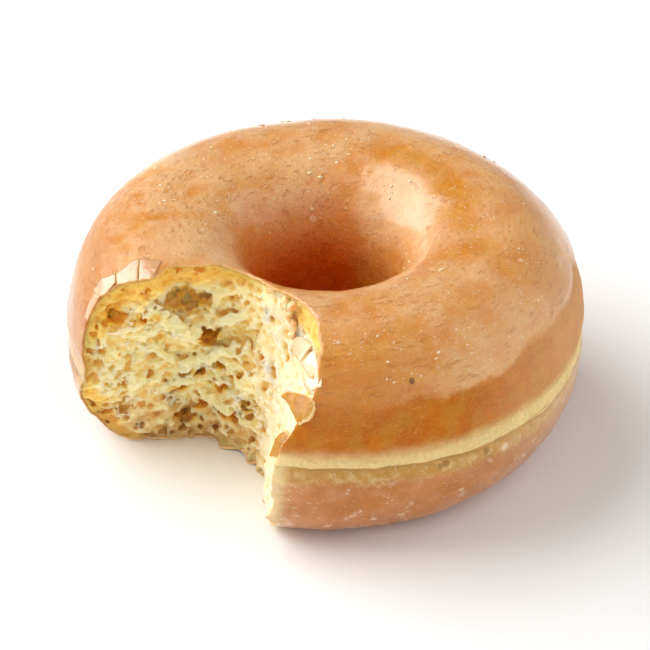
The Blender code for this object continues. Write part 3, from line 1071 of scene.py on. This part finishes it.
# Pinkish-white set glaze: partly its own colour, partly painted reflection of the key lamp
colour = place.noise(2.2, 3, 0.6).above(0.5, 0.2).blend(tone(250, 220, 192), tone(244, 200, 158))
colour = colour.toward(tone(208, 146, 96), place.axis(0).below(-20, 8) * 0.85)
colour = colour.toward(tone(232, 172, 100), edge.above(0.88, 0.1) * 0.6)
feed(shader, Base_Color=colour, Normal=place.noise(0.9, 3).relief(0.15))

points, faces, way_out = joined(
    [plate(corners, 0.7, 0.5, 71 + k) for k, corners in enumerate(TONGUES)])
tongues = mesh_piece("crust_tongues", points, faces, way_out=way_out)

shader, place = new_finish(tongues, Roughness=0.5, Specular_IOR_Level=0.2, Subsurface_Weight=0.3,
    Subsurface_Scale=0.0012, Coat_Weight=0.5, Coat_Roughness=0.15)
edge = place.read("way_out") + place.wander(0.35, 1, 3)
colour = place.noise(2, 3, 0.6).above(0.5, 0.2).blend(tone(190, 134, 20), tone(172, 112, 8))
colour = colour.toward(tone(248, 214, 150), edge.above(0.9, 0.08) * 0.9)
feed(shader, Base_Color=colour, Normal=place.noise(0.9, 4, 0.6).relief(0.3))

# --------------------
# Lumps of dough that came away with the bite and hang at its upper edge, and
# grains of sugar that stand on the glaze, most of them in loose groups.

# middle in mm from the waist's middle, then half the length, breadth and depth
LUMPS = (
    ((-7.1, -23.4, 20.2), (1.1, 1.9, 0.9)), ((-6, -24.6, 20.6), (0.9, 1.5, 0.8)),
    ((-6.6, -24.2, 18.4), (0.8, 1.2, 1.6)), ((-5.9, -25.2, 16.6), (0.7, 0.9, 1.3)),
    ((-5.9, -24.7, 14.4), (0.7, 0.9, 0.9)), ((-9.6, -20.2, 20.6), (1.3, 0.8, 0.6)),
)

throw = np.random.default_rng(81)


def ball(centre, axes, radii, rough, turns, drops):
    """A closed ball of rings squeezed to its radii along three axes, its points
    thrown in and out at random."""
    drop = np.linspace(0, math.pi, drops + 2)[1:-1, None]
    turn = np.linspace(0, 2 * math.pi, turns, endpoint=False)[None, :]
    shape = stacked(np.sin(drop) * np.cos(turn), np.sin(drop) * np.sin(turn), np.cos(drop))
    shape = shape * radii * throw.uniform(1 - rough, 1 + rough, shape.shape[:2] + (1,))
    return capped(centre + shape @ axes)


points, faces = joined(ball(middle, np.eye(3), radii, 0.09, 30, 16) for middle, radii in LUMPS)
points += 0.35 * stacked(*(cloud(points, 1.3, seed) for seed in (91, 92, 93)))
lumps = mesh_piece("dough_lumps", points, faces)
shader, place = new_finish(lumps, Roughness=0.45, Subsurface_Weight=0.6, Subsurface_Scale=0.0015,
    Coat_Weight=0.4, Coat_Roughness=0.2)
colour = place.noise(1.6, 3, 0.6).above(0.5, 0.15).blend(tone(250, 220, 170), tone(236, 178, 96))
feed(shader, Base_Color=colour, Normal=place.noise(0.6, 3, 0.6).relief(0.25))

GRAINS = 320
azimuth = throw.uniform(0, 2 * math.pi, 4 * GRAINS)
level = throw.uniform(-0.25, math.pi - 0.5, 4 * GRAINS)
spots = ring_points(azimuth, level, 0.28)
keep = (cloud(spots, 7, 82) > 0.05) & (bite_depth(spots) < -1.2)
keep &= (spots[:, 2] > glaze_rim(azimuth) + 0.6) | (np.cos(level) < 0)
azimuth, level, spots = azimuth[keep][:GRAINS], level[keep][:GRAINS], spots[keep][:GRAINS]
ahead = ring_points(azimuth + 0.01, level, 0.28) - spots
out = np.cross(ahead, ring_points(azimuth, level + 0.01, 0.28) - spots)
sizes = 0.08 + 0.3 * throw.uniform(0, 1, len(spots)) ** 4
grains = []
for spot, first, normal, size in zip(spots, ahead, out, sizes):
    axes = unit(np.stack([first, np.cross(normal, first), normal]))
    radii = size * np.array([throw.uniform(0.6, 1.6), 1, 0.45])
    grains.append(ball(spot, axes, radii, 0.3, 8, 5))
sugar = mesh_piece("sugar_grains", *joined(grains))
shader, place = new_finish(sugar, Roughness=0.3, Subsurface_Weight=0.4, Subsurface_Scale=0.0008)
feed(shader, Base_Color=place.noise(3).above(0.5, 0.2).blend(tone(250, 224, 192), tone(240, 198, 150)))

for thing, slot in ((crust, "glazed_crust"), (crumb, "crumb"), (shards, "sugar_glaze"),
                    (tongues, "glazed_crust"), (lumps, "crumb"), (sugar, "sugar_glaze")):
    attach(thing, "root")
    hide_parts("doughnut")
